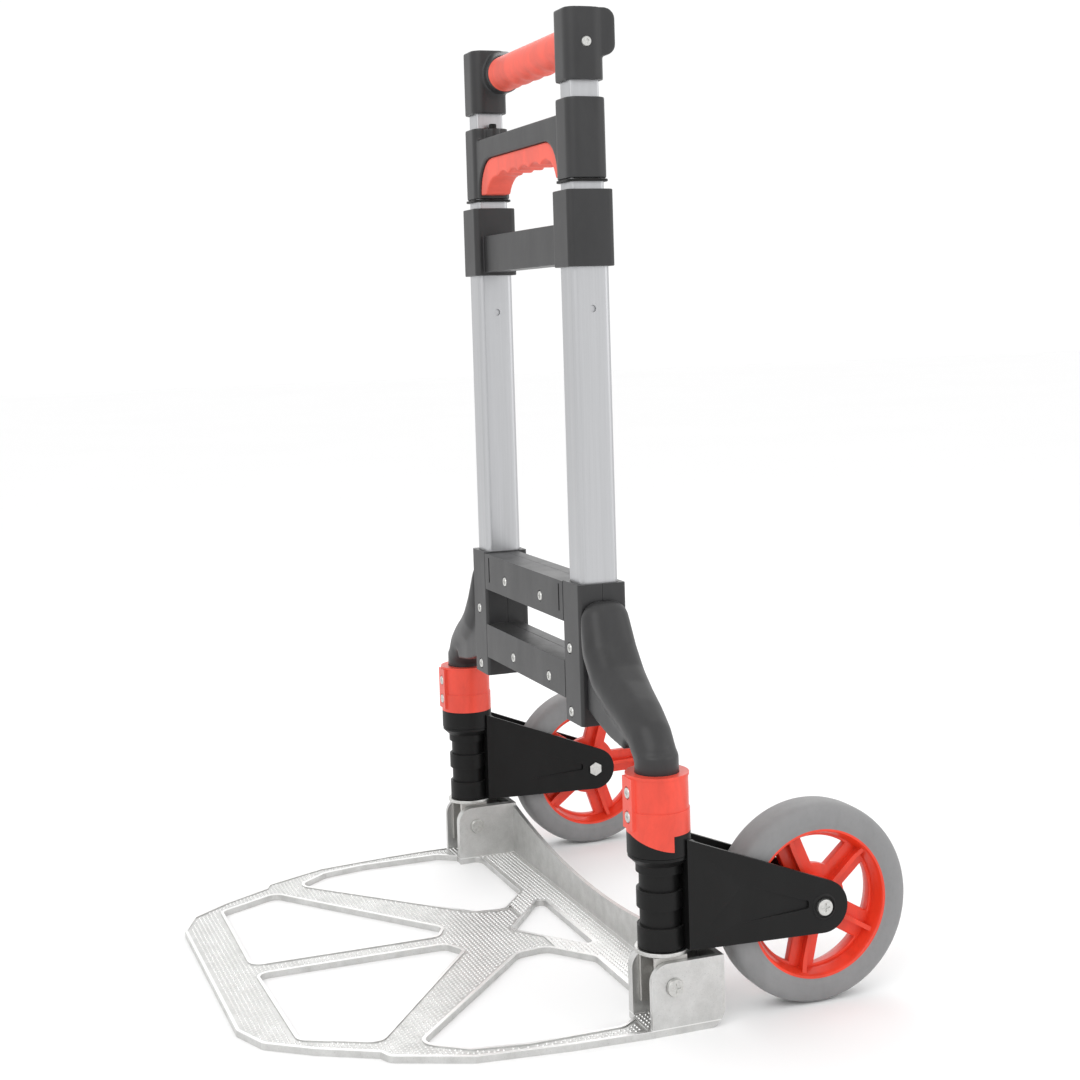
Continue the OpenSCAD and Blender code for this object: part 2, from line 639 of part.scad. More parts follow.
module cap() color("#3a3a3c") placed() difference() {
    union() {
        translate([tube_x, 0, cap_z]) linear_extrude(cap_h) rounded(cap_w, cap_d, 10);
        hull() {
            cap_head(tube_x - cap_w / 2 + 4, cap_w - 6);
            translate([tube_x - cap_w / 2 - cap_arm, grip_back, grip_z]) rotate([0, 90, 0])
                cylinder(r = grip_r + 1, h = 4, $fn = 32);
        }
    }
    translate([tube_x, 0, cap_z - 1]) linear_extrude(inner_z1 - cap_z + 1)
        rounded(inner_w + 2 * seat_gap, inner_d + 2 * seat_gap, tube_corner - 2 * tube_wall);
}

module cap_rivet() color("silver") placed() translate([tube_x + cap_w / 2, 0, top_z - 27]) rotate([0, 90, 0]) difference() {
    cylinder(r1 = rivet_r, r2 = rivet_r - 0.7, h = 1.2);
    translate([0, 0, 0.4]) cylinder(r = 1.8, h = 2);
}

module grip_upper() color("salmon") placed() translate([-grip_half, grip_back, grip_z]) rotate([0, 90, 0])
    cylinder(r = grip_r, h = 2 * grip_half);

toe_plate();
frame_front();
frame_rear();
frame_screws();
collar_bracket();
leg();  // leg_right
left() leg();  // leg_left
tube_outer();  // tube_outer_right
left() tube_outer();  // tube_outer_left
post();  // post_right
left() post();  // post_left
clamp();  // clamp_right
left() clamp();  // clamp_left
clamp_screws();  // clamp_screws_right
left() clamp_screws();  // clamp_screws_left
cam_ring();  // cam_ring_right
left() cam_ring();  // cam_ring_left
foot();  // foot_right
left() foot();  // foot_left
foot_disc();  // foot_disc_right
left() foot_disc();  // foot_disc_left
hinge_bolt();  // hinge_bolt_right
left() hinge_bolt();  // hinge_bolt_left
bracket();  // bracket_right
left() bracket();  // bracket_left
axle();  // axle_right
left() axle();  // axle_left
rim(spoke_turn);  // rim_right
left() rim(spoke_turn_left);  // rim_left
tyre(spoke_turn);  // tyre_right
left() tyre(spoke_turn_left);  // tyre_left
tube_middle();  // tube_middle_right
left() tube_middle();  // tube_middle_left
guide_plate();  // guide_plate_right
left() guide_plate();  // guide_plate_left
handle_lower();
grip_lower();
release_button();
tube_inner();  // tube_inner_right
left() tube_inner();  // tube_inner_left
cap();  // cap_right
left() cap();  // cap_left
cap_rivet();  // cap_rivet_right
left() cap_rivet();  // cap_rivet_left
grip_upper();
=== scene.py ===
"""Finishes, detailed pieces, soft studio and camera for the folding two-wheel hand truck."""

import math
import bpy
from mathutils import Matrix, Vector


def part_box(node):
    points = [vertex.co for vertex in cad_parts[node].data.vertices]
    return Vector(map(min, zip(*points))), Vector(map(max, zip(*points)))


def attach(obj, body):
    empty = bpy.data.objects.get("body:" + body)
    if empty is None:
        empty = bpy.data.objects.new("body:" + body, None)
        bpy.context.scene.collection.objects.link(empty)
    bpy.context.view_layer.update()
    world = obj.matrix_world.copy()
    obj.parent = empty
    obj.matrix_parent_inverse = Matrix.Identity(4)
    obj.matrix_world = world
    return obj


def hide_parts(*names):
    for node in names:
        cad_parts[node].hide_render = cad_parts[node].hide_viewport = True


bl_info = {
    "name": "Folding hand truck",
    "version": (1, 0, 0),
    "blender": (4, 5, 0),
    "location": "View3D > Sidebar > Hand truck",
    "description": "Dresses the hand truck frame with moulded, cast and turned pieces",
    "category": "Object",
}

import bmesh
import bpy
from bpy.props import FloatProperty, FloatVectorProperty, IntProperty, PointerProperty
from mathutils import Matrix, Vector
from mathutils.bvhtree import BVHTree

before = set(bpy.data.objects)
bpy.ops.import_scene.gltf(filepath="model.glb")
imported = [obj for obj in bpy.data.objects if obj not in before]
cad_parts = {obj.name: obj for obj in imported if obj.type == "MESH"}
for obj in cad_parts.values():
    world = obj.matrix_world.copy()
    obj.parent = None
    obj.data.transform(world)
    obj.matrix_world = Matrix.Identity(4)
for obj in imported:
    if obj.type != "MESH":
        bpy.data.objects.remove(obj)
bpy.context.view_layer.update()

MM = 0.001
SIDES = {"right": 1, "left": -1}
STRIP_PROBE = 11 * MM  # in from the back of the toe plate, on the flat strip before its wall
STRIP_FRONT = 20 * MM  # from the post axis forward to the front edge of that strip


def middle(node):
    """Centre of a frame node's box."""
    low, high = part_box(node)
    return (low + high) / 2


def paired(name):
    """The right and left node of a pair."""
    return [f"{name}_{side}" for side in SIDES]


WHEEL_R = (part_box("tyre_right")[1].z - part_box("tyre_right")[0].z) / 2
RIM_R = (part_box("rim_right")[1].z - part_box("rim_right")[0].z) / 2
TYRE_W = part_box("tyre_right")[1].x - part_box("tyre_right")[0].x
GRIP_R = (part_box("grip_upper")[1].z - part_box("grip_upper")[0].z) / 2


# ---- settings shown in the sidebar ----

def colour(label, text, value):
    """A colour setting."""
    return FloatVectorProperty(
        name=label, description=text, default=value, subtype="COLOR", size=3, min=0.0, max=1.0
    )


def length(label, text, value):
    """A length setting in metres."""
    return FloatProperty(name=label, description=text, default=value, unit="LENGTH", precision=4)


class HandTruckFinishes(bpy.types.PropertyGroup):
    """Colours of the materials."""

    cast_light: colour("Cast metal", "Bright skin of the cast toe plate", (0.66, 0.66, 0.65))
    cast_dark: colour("Cast shade", "Duller patches of the casting", (0.50, 0.50, 0.49))
    # painted highlight: this bright colour paints the toe plate's studs and rim tops lighter than the
    # casting, as if they caught the light
    stud: colour("Stud highlight metal", "Studs and rim tops painted bright as a highlight", (0.88, 0.88, 0.87))
    tube_light: colour("Tube metal", "Satin anodised tube", (0.53, 0.535, 0.55))
    tube_dark: colour("Tube shade", "Darker streaks of the tube", (0.44, 0.445, 0.455))
    zinc: colour("Zinc", "Plated screws, bolts and discs", (0.66, 0.66, 0.64))
    moulding: colour("Frame moulding", "Charcoal plastic of the frame and handles", (0.026, 0.026, 0.027))
    bracket: colour("Bracket moulding", "Black plastic of the wheel brackets", (0.006, 0.006, 0.006))
    collar_red: colour("Collar red", "Red plastic of the clamp collars", (0.74, 0.062, 0.034))
    wheel_red: colour("Wheel red", "Red plastic of the rims", (0.76, 0.042, 0.014))
    grip_red: colour("Grip red", "Soft rubber of the grips", (0.80, 0.115, 0.078))
    tyre: colour("Tyre grey", "Non-marking grey rubber", (0.225, 0.225, 0.228))


class HandTruckSizes(bpy.types.PropertyGroup):
    """Sizes of the detail that the frame doesn't hold."""

    plastic_edge: length("Moulded edge", "Rounding of moulded edges", 0.9 * MM)
    cast_edge: length("Cast edge", "Rounding of the casting's edges", 0.5 * MM)
    metal_edge: length("Metal edge", "Rounding of screws and tube ends", 0.2 * MM)
    stud_pitch: length("Stud pitch", "Distance between tread studs", 4.1 * MM)
    stud_r: length("Stud radius", "Radius of a tread stud", 1.2 * MM)
    stud_h: length("Stud height", "Height of a tread stud", 0.9 * MM)
    spoke_w: length("Spoke width", "Width of a wheel spoke", 20 * MM)
    finger_pitch: length("Finger pitch", "Distance between finger hollows of the grips", 27 * MM)
    finger_depth: length("Finger depth", "Depth of the finger hollows", 2.2 * MM)
    spokes: IntProperty(name="Spokes", description="Spokes of a wheel", default=5, min=3, max=8)
    turn_right: FloatProperty(
        name="Right wheel turn", description="Angle of the first spoke of the right wheel",
        default=math.radians(41), subtype="ANGLE",
    )
    turn_left: FloatProperty(
        name="Left wheel turn", description="Angle of the first spoke of the left wheel",
        default=math.radians(1), subtype="ANGLE",
    )


class HandTruckStage(bpy.types.PropertyGroup):
    """Camera and lamps."""

    camera_at: FloatVectorProperty(
        name="Camera place", description="Where the camera stands",
        default=(1.4145, -0.4756, 0.5283), subtype="TRANSLATION", unit="LENGTH", precision=4,
    )
    azimuth: FloatProperty(
        name="Azimuth", description="Direction round the object",
        default=math.radians(69.639), subtype="ANGLE",
    )
    pitch: FloatProperty(
        name="Pitch", description="Tilt below the horizon",
        default=math.radians(3.049), subtype="ANGLE",
    )
    roll: FloatProperty(
        name="Roll", description="Turn round the view direction",
        default=math.radians(1.733), subtype="ANGLE",
    )
    lens: FloatProperty(name="Lens", description="Focal length in millimetres", default=59.219)
    drop: FloatProperty(name="Drop", description="Vertical camera shift", default=-0.12)
    room_light: FloatProperty(
        name="Room light", description="Strength of the pale surroundings", default=1.03
    )
    key_power: FloatProperty(name="Key lamp", description="Power of the large lamp", default=14, unit="POWER")
    fill_power: FloatProperty(name="Fill lamp", description="Power of the fill lamp", default=5, unit="POWER")
    rim_power: FloatProperty(
        name="Back lamp", description="Power of the lamp behind", default=7, unit="POWER"
    )


# ---- node building ----

def link(tree, out_node, out_name, in_node, in_name):
    """Joins two sockets by name or index."""
    tree.links.new(out_node.outputs[out_name], in_node.inputs[in_name])


def node(tree, kind, x=0, y=0, **settings):
    """A shader node with its settings and socket values; a setting's key may name a socket."""
    made = tree.nodes.new("ShaderNode" + kind)
    made.location = (x, y)
    for key, value in settings.items():
        label = key.replace("_", " ")
        if hasattr(made, key):
            setattr(made, key, value)
        else:
            made.inputs[label].default_value = value
    return made


def calc(tree, operation, a, b, x=0, y=0, clamp=False):
    """A Math node; a and b are numbers or (node, output) pairs."""
    made = tree.nodes.new("ShaderNodeMath")
    made.operation, made.location, made.use_clamp = operation, (x, y), clamp
    for index, value in enumerate((a, b)):
        if isinstance(value, tuple):
            link(tree, value[0], value[1], made, index)
        elif value is not None:
            made.inputs[index].default_value = value
    return made


def group(name, inputs, outputs):
    """An empty node group with float sockets; an input named Vector is a vector."""
    tree = bpy.data.node_groups.new(name, "ShaderNodeTree")
    for label, value in inputs.items():
        kind = "NodeSocketVector" if label == "Vector" else "NodeSocketFloat"
        socket = tree.interface.new_socket(name=label, in_out="INPUT", socket_type=kind)
        if label != "Vector":
            socket.default_value = value
    for label in outputs:
        tree.interface.new_socket(name=label, in_out="OUTPUT", socket_type="NodeSocketFloat")
    start, end = tree.nodes.new("NodeGroupInput"), tree.nodes.new("NodeGroupOutput")
    start.location, end.location = (-900, 0), (700, 0)
    return tree, start, end


def edge_wear_group():
    """Mask of rubbed edges, broken up so that it never runs evenly."""
    tree, start, end = group("Edge wear", {"Vector": None, "Width": 0.001, "Patch Scale": 120.0}, ["Mask"])
    rounded = node(tree, "Bevel", -650, 150, samples=4)
    link(tree, start, "Width", rounded, "Radius")
    surface = node(tree, "NewGeometry", -650, -50)
    dot = node(tree, "VectorMath", -450, 100, operation="DOT_PRODUCT")
    link(tree, rounded, "Normal", dot, 0)
    link(tree, surface, "Normal", dot, 1)
    bend = calc(tree, "SUBTRACT", 1.0, (dot, "Value"), -250, 100)
    strong = calc(tree, "MULTIPLY", (bend, 0), 14.0, -80, 100, clamp=True)
    patches = node(tree, "TexNoise", -450, -200, Detail=4.0, Roughness=0.65)
    link(tree, start, "Vector", patches, "Vector")
    link(tree, start, "Patch Scale", patches, "Scale")
    spread = calc(tree, "MULTIPLY_ADD", (patches, "Fac"), 2.6, -80, -200, clamp=True)
    spread.inputs[2].default_value = -0.85
    mask = calc(tree, "MULTIPLY", (strong, 0), (spread, 0), 200, 0, clamp=True)
    link(tree, mask, 0, end, "Mask")
    return tree


def moulded_grain_group():
    """Spark-eroded mould texture: fine pebbles, slow tone changes and faint flow marks."""
    tree, start, end = group("Moulded grain", {"Vector": None, "Pebble Scale": 1500.0}, ["Height", "Tone"])
    pebbles = node(tree, "TexVoronoi", -600, 200, feature="SMOOTH_F1", Smoothness=0.6)
    link(tree, start, "Vector", pebbles, "Vector")
    link(tree, start, "Pebble Scale", pebbles, "Scale")
    fine = node(tree, "TexNoise", -600, -50, Scale=2600.0, Detail=3.0, Roughness=0.6)
    link(tree, start, "Vector", fine, "Vector")
    height = calc(tree, "MULTIPLY_ADD", (fine, "Fac"), 0.6, -300, 100)
    link(tree, pebbles, "Distance", height, 2)
    flow = node(tree, "Mapping", -750, -300, Scale=(1.0, 1.0, 0.35))
    link(tree, start, "Vector", flow, "Vector")
    slow = node(tree, "TexNoise", -560, -300, Scale=38.0, Detail=6.0, Roughness=0.62, Distortion=0.4)
    link(tree, flow, "Vector", slow, "Vector")
    link(tree, height, 0, end, "Height")
    link(tree, slow, "Fac", end, "Tone")
    return tree


def brushed_grain_group():
    """Long drawn streaks along Z, as an extrusion die leaves them, and their tone."""
    tree, start, end = group("Brushed grain", {"Vector": None, "Streak Scale": 900.0}, ["Height", "Tone"])
    stretch = node(tree, "Mapping", -700, 100, Scale=(1.0, 1.0, 0.012))
    link(tree, start, "Vector", stretch, "Vector")
    streaks = node(tree, "TexNoise", -500, 150, Detail=6.0, Roughness=0.72)
    link(tree, stretch, "Vector", streaks, "Vector")
    link(tree, start, "Streak Scale", streaks, "Scale")
    bands = node(tree, "TexNoise", -500, -150, Scale=90.0, Detail=4.0, Roughness=0.6)
    link(tree, stretch, "Vector", bands, "Vector")
    speck = node(tree, "TexNoise", -500, -400, Scale=2200.0, Detail=2.0)
    link(tree, start, "Vector", speck, "Vector")
    tone = node(tree, "Mix", -200, -50, data_type="FLOAT")
    tone.inputs[0].default_value = 0.5
    link(tree, streaks, "Fac", tone, 2)
    link(tree, bands, "Fac", tone, 3)
    height = calc(tree, "MULTIPLY_ADD", (speck, "Fac"), 0.35, -200, 200)
    link(tree, streaks, "Fac", height, 2)
    link(tree, height, 0, end, "Height")
    link(tree, tone, 0, end, "Tone")
    return tree


def cast_skin_group():
    """Tumbled casting skin: rolling swells, sandy grain and small pits."""
    tree, start, end = group("Cast skin", {"Vector": None, "Grain Scale": 900.0}, ["Height", "Tone", "Pits"])
    swells = node(tree, "TexNoise", -600, 250, Scale=70.0, Detail=5.0, Roughness=0.6)
    link(tree, start, "Vector", swells, "Vector")
    grain = node(tree, "TexNoise", -600, 0, Detail=5.0, Roughness=0.7)
    link(tree, start, "Vector", grain, "Vector")
    link(tree, start, "Grain Scale", grain, "Scale")
    cells = node(tree, "TexVoronoi", -600, -250, Scale=420.0, Randomness=1.0)
    link(tree, start, "Vector", cells, "Vector")
    pits = node(tree, "MapRange", -350, -250)
    pits.inputs["From Min"].default_value = 0.16
    pits.inputs["From Max"].default_value = 0.05
    link(tree, cells, "Distance", pits, "Value")
    height = calc(tree, "MULTIPLY_ADD", (grain, "Fac"), 0.5, -300, 150)
    link(tree, swells, "Fac", height, 2)
    sunk = calc(tree, "SUBTRACT", (height, 0), (pits, 0), -100, 100)
    tone = calc(tree, "MULTIPLY_ADD", (grain, "Fac"), 0.4, -300, 350)
    share = calc(tree, "MULTIPLY", (swells, "Fac"), 0.7, -450, 400)
    link(tree, share, 0, tone, 2)
    link(tree, sunk, 0, end, "Height")
    link(tree, tone, 0, end, "Tone")
    link(tree, pits, 0, end, "Pits")
    return tree


def dust_group():
    """Mask of fine dust that settles on faces turned upwards."""
    tree, start, end = group("Dust", {"Vector": None, "Amount": 0.4}, ["Mask"])
    surface = node(tree, "NewGeometry", -700, 100)
    apart = node(tree, "SeparateXYZ", -500, 100)
    link(tree, surface, "Normal", apart, 0)
    up = calc(tree, "MAXIMUM", (apart, "Z"), 0.0, -320, 100)
    cloud = node(tree, "TexNoise", -500, -150, Scale=55.0, Detail=6.0, Roughness=0.7)
    link(tree, start, "Vector", cloud, "Vector")
    both = calc(tree, "MULTIPLY", (up, 0), (cloud, "Fac"), -120, 0)
    mask = calc(tree, "MULTIPLY", (both, 0), (start, "Amount"), 100, 0, clamp=True)
    link(tree, mask, 0, end, "Mask")
    return tree


GROUPS = {}


def effect(name):
    """A node group, built the first time that it is asked for."""
    makers = {
        "Edge wear": edge_wear_group,
        "Moulded grain": moulded_grain_group,
        "Brushed grain": brushed_grain_group,
        "Cast skin": cast_skin_group,
        "Dust": dust_group,
    }
    if name not in GROUPS:
        GROUPS[name] = makers[name]()
    return GROUPS[name]


class Finish:
    """A material in the making: its shader, its coordinates and its effects."""

    def __init__(self, name, **shader_values):
        self.material = bpy.data.materials.new(name)
        self.material.use_nodes = True
        self.tree = self.material.node_tree
        self.shader = self.tree.nodes["Principled BSDF"]
        for key, value in shader_values.items():
            self.shader.inputs[key.replace("_", " ")].default_value = value
        self.place = node(self.tree, "TexCoord", -1400, 0)

    def add(self, name, x, y, **values):
        """One of the shared effects, with this material's own values."""
        made = self.tree.nodes.new("ShaderNodeGroup")
        made.node_tree, made.location = effect(name), (x, y)
        link(self.tree, self.place, "Object", made, "Vector")
        for key, value in values.items():
            made.inputs[key.replace("_", " ")].default_value = value
        return made

    def blend(self, mask, first, second, x, y, strength=1.0):
        """Mixes two colours by a mask; a colour is a triple or a (node, output) pair."""
        mix = self.tree.nodes.new("ShaderNodeMix")
        mix.data_type, mix.location = "RGBA", (x, y)
        amount = mask if strength == 1.0 else (calc(self.tree, "MULTIPLY", mask, strength, x - 180, y), 0)
        link(self.tree, amount[0], amount[1], mix, 0)
        for index, value in ((6, first), (7, second)):
            if isinstance(value[0], bpy.types.Node):
                link(self.tree, value[0], value[1], mix, index)
            else:
                mix.inputs[index].default_value = (*value, 1.0)
        return mix, 2

    def spread(self, value, low, high, x, y):
        """Maps a tone that lies round a half to the range between low and high."""
        ramp = node(self.tree, "MapRange", x, y)
        ramp.inputs["From Min"].default_value = 0.3
        ramp.inputs["From Max"].default_value = 0.7
        ramp.inputs["To Min"].default_value = low
        ramp.inputs["To Max"].default_value = high
        link(self.tree, value[0], value[1], ramp, "Value")
        return ramp, 0

    def feed(self, source, socket):
        """Joins a (node, output) pair to the shader."""
        link(self.tree, source[0], source[1], self.shader, socket)

    def bump(self, height, strength, distance):
        """Feeds a height to the shader's normal."""
        made = node(self.tree, "Bump", -250, -400, Strength=strength, Distance=distance)
        link(self.tree, height[0], height[1], made, "Height")
        link(self.tree, made, "Normal", self.shader, "Normal")


def lighter(base, factor, lift=0.0):
    """A colour scaled by factor and lifted a little."""
    return tuple(min(1.0, channel * factor + lift) for channel in base)


def moulded(name, base, roughness, pebble, bump, wear, coat=0.0, gloss=0.4):
    """Moulded plastic with mould grain, slow tone changes, rubbed edges and a trace of dust."""
    finish = Finish(name, Coat_Weight=coat, Coat_Roughness=0.22, Specular_IOR_Level=gloss)
    grain = finish.add("Moulded grain", -1150, 200, Pebble_Scale=pebble)
    rubbed = finish.add("Edge wear", -1150, -50, Width=0.0011, Patch_Scale=140.0)
    dust = finish.add("Dust", -1150, -250, Amount=0.16)
    tone = finish.spread((grain, "Tone"), 0.0, 1.0, -900, 250)
    body = finish.blend(tone, lighter(base, 0.82), lighter(base, 1.18, 0.001), -650, 250)
    worn = finish.blend((rubbed, "Mask"), body, lighter(base, 1.5, 0.02), -450, 200, wear)
    dusty = finish.blend((dust, "Mask"), worn, (0.45, 0.44, 0.42), -250, 150, 0.25)
    finish.feed(dusty, "Base Color")
    finish.feed(finish.spread((grain, "Tone"), roughness - 0.05, roughness + 0.07, -600, -100), "Roughness")
    finish.bump((grain, "Height"), bump, 0.00012)
    return finish.material


def highlight_band(finish, height, thickness):
    """Mask of the faces that lie between two heights, where a highlight is painted on them."""
    apart = node(finish.tree, "SeparateXYZ", -1200, -450)
    link(finish.tree, finish.place, "Object", apart, 0)
    over = calc(finish.tree, "GREATER_THAN", (apart, "Z"), height, -1000, -400)
    under = calc(finish.tree, "LESS_THAN", (apart, "Z"), height + thickness, -1000, -550)
    return calc(finish.tree, "MULTIPLY", (over, 0), (under, 0), -800, -450), 0


def cast_metal(name, light, dark, roughness, bump, top=None, highlight_colour=None):
    """Tumbled cast aluminium with pits, patches and polished edges."""
    finish = Finish(name, Metallic=0.9)
    skin = finish.add("Cast skin", -1150, 200, Grain_Scale=950.0)
    rubbed = finish.add("Edge wear", -1150, -50, Width=0.0009, Patch_Scale=90.0)
    tone = finish.spread((skin, "Tone"), 0.0, 1.0, -900, 250)
    body = finish.blend(tone, dark, light, -650, 250)
    pitted = finish.blend((skin, "Pits"), body, lighter(dark, 0.55), -450, 200, 0.5)
    # painted highlight: faces in a thin band just above the top height, the rim tops of the toe plate, get
    # the bright highlight colour
    if top is not None:
        pitted = finish.blend(highlight_band(finish, top, 0.8 * MM), pitted, highlight_colour, -350, 250, 0.85)
    bright = finish.blend((rubbed, "Mask"), pitted, lighter(light, 1.12), -250, 150, 0.8)
    finish.feed(bright, "Base Color")
    rough = finish.spread((skin, "Tone"), roughness + 0.10, roughness - 0.06, -600, -100)
    smooth = calc(finish.tree, "MULTIPLY_ADD", (rubbed, "Mask"), -0.12, -400, -120)
    link(finish.tree, rough[0], 0, smooth, 2)
    finish.feed((smooth, 0), "Roughness")
    finish.bump((skin, "Height"), bump, 0.00025)
    return finish.material


def drawn_metal(name, light, dark, roughness):
    """Anodised extrusion with long satin streaks."""
    finish = Finish(name, Metallic=0.95)
    grain = finish.add("Brushed grain", -1150, 200, Streak_Scale=1100.0)
    rubbed = finish.add("Edge wear", -1150, -50, Width=0.0008, Patch_Scale=70.0)
    tone = finish.spread((grain, "Tone"), 0.0, 1.0, -900, 250)
    body = finish.blend(tone, dark, light, -650, 250)
    bright = finish.blend((rubbed, "Mask"), body, lighter(light, 1.2), -450, 200, 0.6)
    finish.feed(bright, "Base Color")
    finish.feed(finish.spread((grain, "Tone"), roughness + 0.06, roughness - 0.05, -600, -100), "Roughness")
    finish.bump((grain, "Height"), 0.16, 0.00008)
    return finish.material


def plated_metal(name, base, roughness):
    """Zinc plating with spangle, dull patches and bright rubbed edges."""
    finish = Finish(name, Metallic=1.0)
    spangle = node(finish.tree, "TexVoronoi", -1150, 300, Scale=520.0)
    link(finish.tree, finish.place, "Object", spangle, "Vector")
    skin = finish.add("Cast skin", -1150, 50, Grain_Scale=1600.0)
    rubbed = finish.add("Edge wear", -1150, -150, Width=0.0005, Patch_Scale=220.0)
    flakes = finish.blend((spangle, "Distance"), lighter(base, 1.08), lighter(base, 0.80), -800, 250)
    patchy = finish.blend((skin, "Tone"), flakes, lighter(base, 0.72), -600, 200, 0.5)
    bright = finish.blend((rubbed, "Mask"), patchy, lighter(base, 1.3), -400, 150, 0.7)
    finish.feed(bright, "Base Color")
    finish.feed(finish.spread((skin, "Tone"), roughness - 0.08, roughness + 0.10, -600, -100), "Roughness")
    finish.bump((skin, "Height"), 0.18, 0.00012)
    return finish.material


def tyre_rubber(name, base):
    """Grey solid rubber, matt, with faint mould sheen, scuffs and dust."""
    finish = Finish(name, Sheen_Weight=0.12, Sheen_Roughness=0.6, Specular_IOR_Level=0.35)
    grain = finish.add("Moulded grain", -1150, 200, Pebble_Scale=1100.0)
    dust = finish.add("Dust", -1150, -250, Amount=0.35)
    scuff = node(finish.tree, "TexNoise", -1150, -50, Scale=160.0, Detail=7.0, Roughness=0.75)
    link(finish.tree, finish.place, "Object", scuff, "Vector")
    tone = finish.spread((grain, "Tone"), 0.0, 1.0, -900, 250)
    body = finish.blend(tone, lighter(base, 0.92), lighter(base, 1.08), -650, 250)
    marks = finish.spread((scuff, "Fac"), -0.6, 0.6, -900, -50)
    scuffed = finish.blend(marks, body, lighter(base, 0.78), -450, 200, 0.35)
    dusty = finish.blend((dust, "Mask"), scuffed, (0.50, 0.49, 0.47), -250, 150, 0.5)
    finish.feed(dusty, "Base Color")
    finish.feed(finish.spread((scuff, "Fac"), 0.52, 0.70, -600, -100), "Roughness")
    finish.bump((grain, "Height"), 0.12, 0.00012)
    return finish.material


FINISHES = {}


def tread_height():
    """Height of the sunk tread field, probed near the front edge of the toe plate."""
    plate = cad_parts["toe_plate"].data
    tree = BVHTree.FromPolygons([v.co for v in plate.vertices], [p.vertices for p in plate.polygons])
    probe = Vector((0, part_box("toe_plate")[0].y + 12 * MM, 1))
    return tree.ray_cast(probe, Vector((0, 0, -1)))[0].z


def finish_of(slot):
    """The material of one of the record's slots, built the first time that it is asked for."""
    tint = bpy.context.scene.hand_truck_finishes
    makers = {
        # painted highlight: the rim tops just above the tread field are painted in the bright stud colour
        "cast_aluminium": lambda: cast_metal(
            slot, tint.cast_light, tint.cast_dark, 0.40, 0.35, tread_height() + 0.5 * MM, tint.stud
        ),
        # painted highlight: the studs are the casting painted in the bright stud colour
        "cast_stud_highlight": lambda: cast_metal(slot, tint.stud, tint.cast_light, 0.30, 0.15),
        "tube_aluminium": lambda: drawn_metal(slot, tint.tube_light, tint.tube_dark, 0.36),
        "frame_plastic": lambda: moulded(slot, tint.moulding, 0.40, 1500.0, 0.16, 0.5),
        "bracket_plastic": lambda: moulded(slot, tint.bracket, 0.44, 1300.0, 0.22, 0.4, gloss=0.2),
        "post_steel": lambda: moulded(slot, (0.02, 0.02, 0.02), 0.34, 2000.0, 0.08, 0.8, 0.2),
        "clamp_red": lambda: moulded(slot, tint.collar_red, 0.40, 1700.0, 0.10, 0.35, 0.12),
        "wheel_red": lambda: moulded(slot, tint.wheel_red, 0.34, 1900.0, 0.08, 0.35, 0.18),
        "grip_red": lambda: moulded(slot, tint.grip_red, 0.52, 1100.0, 0.22, 0.25),
        "tyre_grey": lambda: tyre_rubber(slot, tint.tyre),
        "foot_cast": lambda: cast_metal(slot, (0.58, 0.57, 0.55), (0.40, 0.39, 0.37), 0.46, 0.4),
        "zinc_steel": lambda: plated_metal(slot, tint.zinc, 0.30),
    }
    if slot not in FINISHES:
        FINISHES[slot] = makers[slot]()
    return FINISHES[slot]


# ---- shaping ----

def coat(piece, slot):
    """Gives a piece one material and names its slot."""
    piece.data.materials.clear()
    piece.data.materials.append(finish_of(slot))


def smooth_node(name):
    """A frame node's object with smooth shading that its modifiers can rework."""
    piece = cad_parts[name]
    if "custom_normal" in piece.data.attributes:
        piece.data.attributes.remove(piece.data.attributes["custom_normal"])
    piece.data.shade_smooth()
    weld = piece.modifiers.new("Weld", "WELD")
    weld.merge_threshold = 0.002 * MM
    return piece


def soft_edges(name, slot, width, segments=2):
    """Rounds a frame node's edges and gives it its finish."""
    piece = smooth_node(name)
    flat = piece.modifiers.new("Flat faces", "DECIMATE")
    flat.decimate_type, flat.angle_limit = "DISSOLVE", math.radians(0.5)
    bevel = piece.modifiers.new("Soft edges", "BEVEL")
    bevel.width, bevel.segments = width, segments
    bevel.limit_method, bevel.angle_limit = "ANGLE", math.radians(32)
    bevel.use_clamp_overlap = True
    shading = piece.modifiers.new("Even shading", "WEIGHTED_NORMAL")
    shading.keep_sharp = False
    coat(piece, slot)
    return piece


def soft_form(name, slot, voxel, rounds):
    """Blends a frame node into one flowing moulded form."""
    piece = smooth_node(name)
    remesh = piece.modifiers.new("Even skin", "REMESH")
    remesh.mode, remesh.voxel_size, remesh.use_smooth_shade = "VOXEL", voxel, True
    smooth = piece.modifiers.new("Flow", "SMOOTH")
    smooth.factor, smooth.iterations = 0.5, rounds
    coat(piece, slot)
    return piece


def new_piece(name, build, slot, body, replaced=(), sharp=35):
    """A mesh object from a bmesh, with its finish, riding on a body."""
    mesh = bpy.data.meshes.new(name)
    bmesh.ops.recalc_face_normals(build, faces=build.faces)
    build.to_mesh(mesh)
    build.free()
    mesh.shade_smooth()
    mesh.set_sharp_from_angle(angle=math.radians(sharp))
    piece = bpy.data.objects.new(name, mesh)
    bpy.context.scene.collection.objects.link(piece)
    coat(piece, slot)
    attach(piece, body)
    if replaced:
        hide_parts(*replaced)
    return piece


def turned(build, profile, centre, steps=96):
    """Turns closed (radius, along) points round an axis parallel to X."""
    rings = []
    for step in range(steps):
        angle = math.tau * step / steps
        direction = Vector((0, math.cos(angle), math.sin(angle)))
        rings.append([build.verts.new(centre + direction * r + Vector((a, 0, 0))) for r, a in profile])
    for step in range(steps):
        here, there = rings[step], rings[(step + 1) % steps]
        for index in range(len(profile)):
            after = (index + 1) % len(profile)
            build.faces.new((here[index], here[after], there[after], there[index]))


